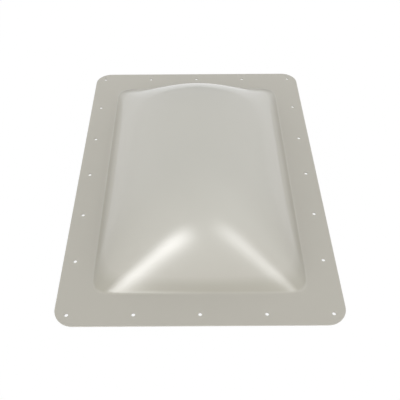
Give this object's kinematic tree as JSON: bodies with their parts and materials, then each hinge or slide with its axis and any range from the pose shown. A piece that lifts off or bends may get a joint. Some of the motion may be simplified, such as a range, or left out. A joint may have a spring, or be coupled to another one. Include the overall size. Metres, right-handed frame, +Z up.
{
  "type": "roof skylight",
  "caption": "Rectangular roof skylight: one smoke tinted plastic sheet blown into a pillow dome with a flat drilled fixing flange all round.",
  "frame": {"origin": "centre of the underside of the flange", "axes": "+Z up through the crown of the dome, +X across the short side, +Y along the long side"},
  "size_m": [0.4572, 0.6604, 0.1114],
  "materials": {
    "smoke_plastic": "glossy, warm grey smoke tint, lets light through"
  },
  "bodies": {
    "root": {"skylight_dome": "smoke_plastic"}
  },
  "joints": []
}
